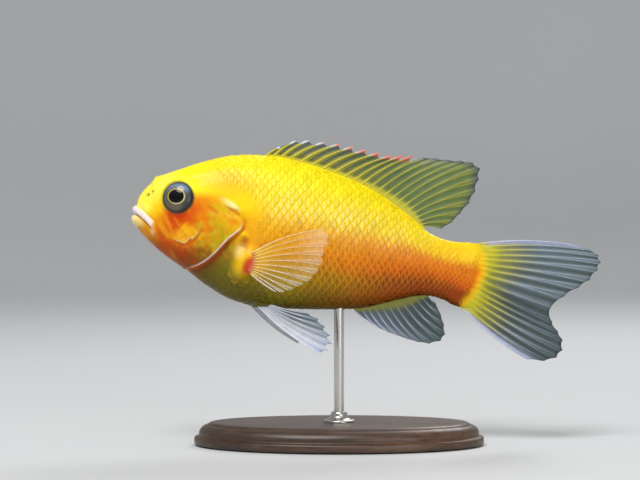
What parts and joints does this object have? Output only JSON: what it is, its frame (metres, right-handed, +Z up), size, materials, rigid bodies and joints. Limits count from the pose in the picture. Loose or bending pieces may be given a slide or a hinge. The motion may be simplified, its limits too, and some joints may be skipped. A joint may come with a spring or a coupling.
{
  "type": "golden cichlid fish model on a display stand",
  "caption": "Life-size still model of a golden-orange aquarium cichlid swimming with its fins spread, held over an oval base by a short rod.",
  "frame": {"origin": "centre of the underside of the stand's base", "axes": "+X from head to tail along the base, +Y to the fish's right side, away from the camera, +Z up"},
  "size_m": [0.1501, 0.054, 0.0964],
  "materials": {
    "golden_skin": "smooth scaled skin, lemon yellow on the back to deep orange low on the flank",
    "gill_skin": "smooth skin, olive yellow with a pale rear rim",
    "jaw_skin": "smooth skin, pale lips and amber chin",
    "fin_membrane": "thin translucent membrane with paler rays",
    "eye": "wet gloss, black pupil, thin gold ring, blue-grey iris",
    "stand_wood": "dark oiled walnut",
    "stand_metal": "satin"
  },
  "bodies": {
    "root": {"head": "golden_skin", "lower_jaw": "jaw_skin", "gill_cover_left": "gill_skin", "gill_cover_right": "gill_skin", "eye_left": "eye", "eye_right": "eye", "torso": "golden_skin", "tail_stem": "golden_skin", "dorsal_fin": "fin_membrane", "anal_fin": "fin_membrane", "tail_fin_upper_lobe": "fin_membrane", "tail_fin_lower_lobe": "fin_membrane", "pectoral_fin_left": "fin_membrane", "pectoral_fin_right": "fin_membrane", "pelvic_fin_left": "fin_membrane", "pelvic_fin_right": "fin_membrane", "stand_base": "stand_wood", "stand_rod": "stand_metal", "stand_collar": "stand_metal"}
  },
  "joints": []
}
